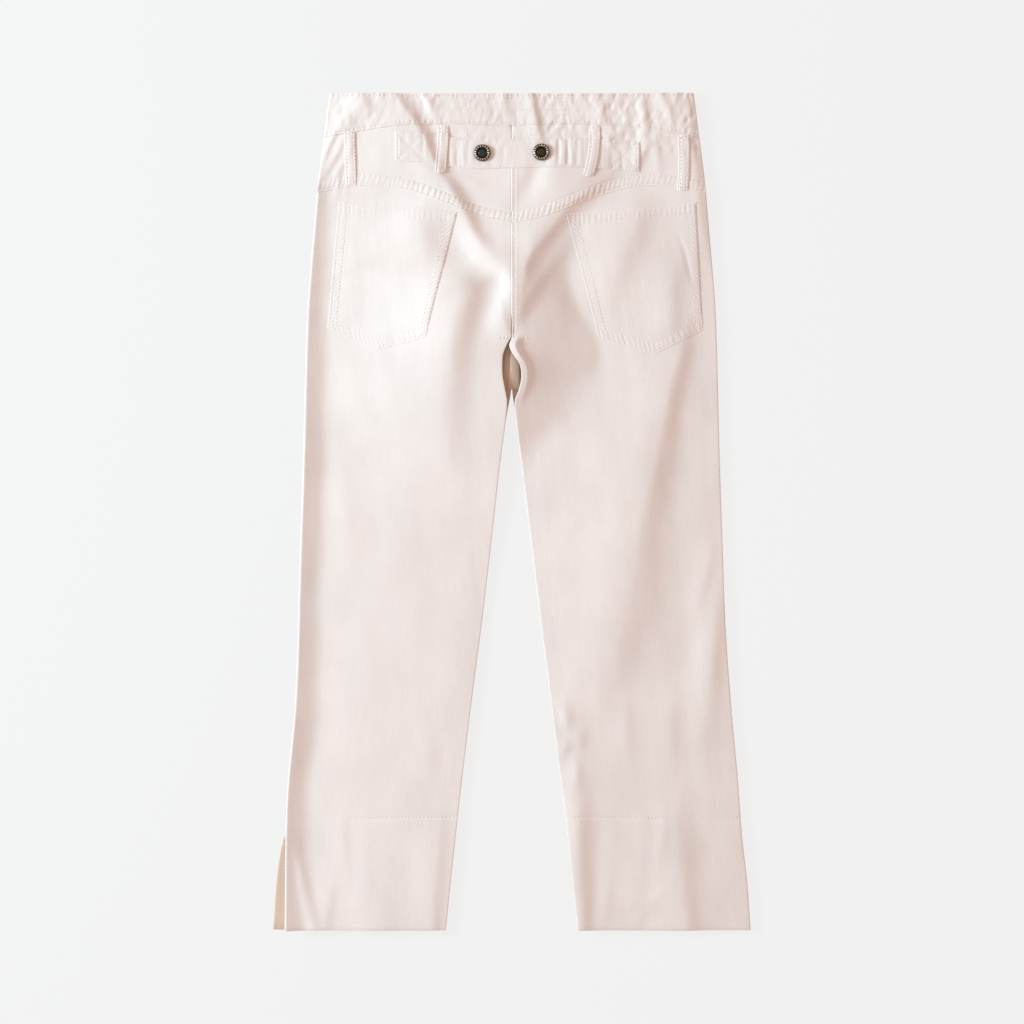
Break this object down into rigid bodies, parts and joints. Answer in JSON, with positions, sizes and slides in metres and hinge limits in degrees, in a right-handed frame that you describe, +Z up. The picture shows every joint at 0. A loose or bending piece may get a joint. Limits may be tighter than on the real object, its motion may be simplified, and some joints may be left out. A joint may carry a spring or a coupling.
{
  "type": "capri pants",
  "caption": "Low-rise cotton capri pants lying face down, with a yoke, patch pockets, belt loops and a buttoned tab across the back.",
  "frame": {"origin": "on the resting surface, under the middle of the garment's outline", "axes": "+Y from the hems to the waist, +X towards the wearer's right, +Z up, out of the garment's back"},
  "size_m": [0.4784, 0.8374, 0.0242],
  "materials": {
    "cotton_cloth": "pale pink-white cotton, matte",
    "snap_metal": "dark bronzed metal, satin"
  },
  "bodies": {
    "root": {"front_left": "cotton_cloth", "front_right": "cotton_cloth", "waistband_front_left": "cotton_cloth", "waistband_front_right": "cotton_cloth", "back_left": "cotton_cloth", "back_right": "cotton_cloth", "yoke_left": "cotton_cloth", "yoke_right": "cotton_cloth", "waistband_back": "cotton_cloth", "pocket_left": "cotton_cloth", "pocket_right": "cotton_cloth", "tab": "cotton_cloth", "belt_loop_left_outer": "cotton_cloth", "belt_loop_left_inner": "cotton_cloth", "belt_loop_right_inner": "cotton_cloth", "belt_loop_right_outer": "cotton_cloth", "snap_left": "snap_metal", "snap_right": "snap_metal"}
  },
  "joints": []
}
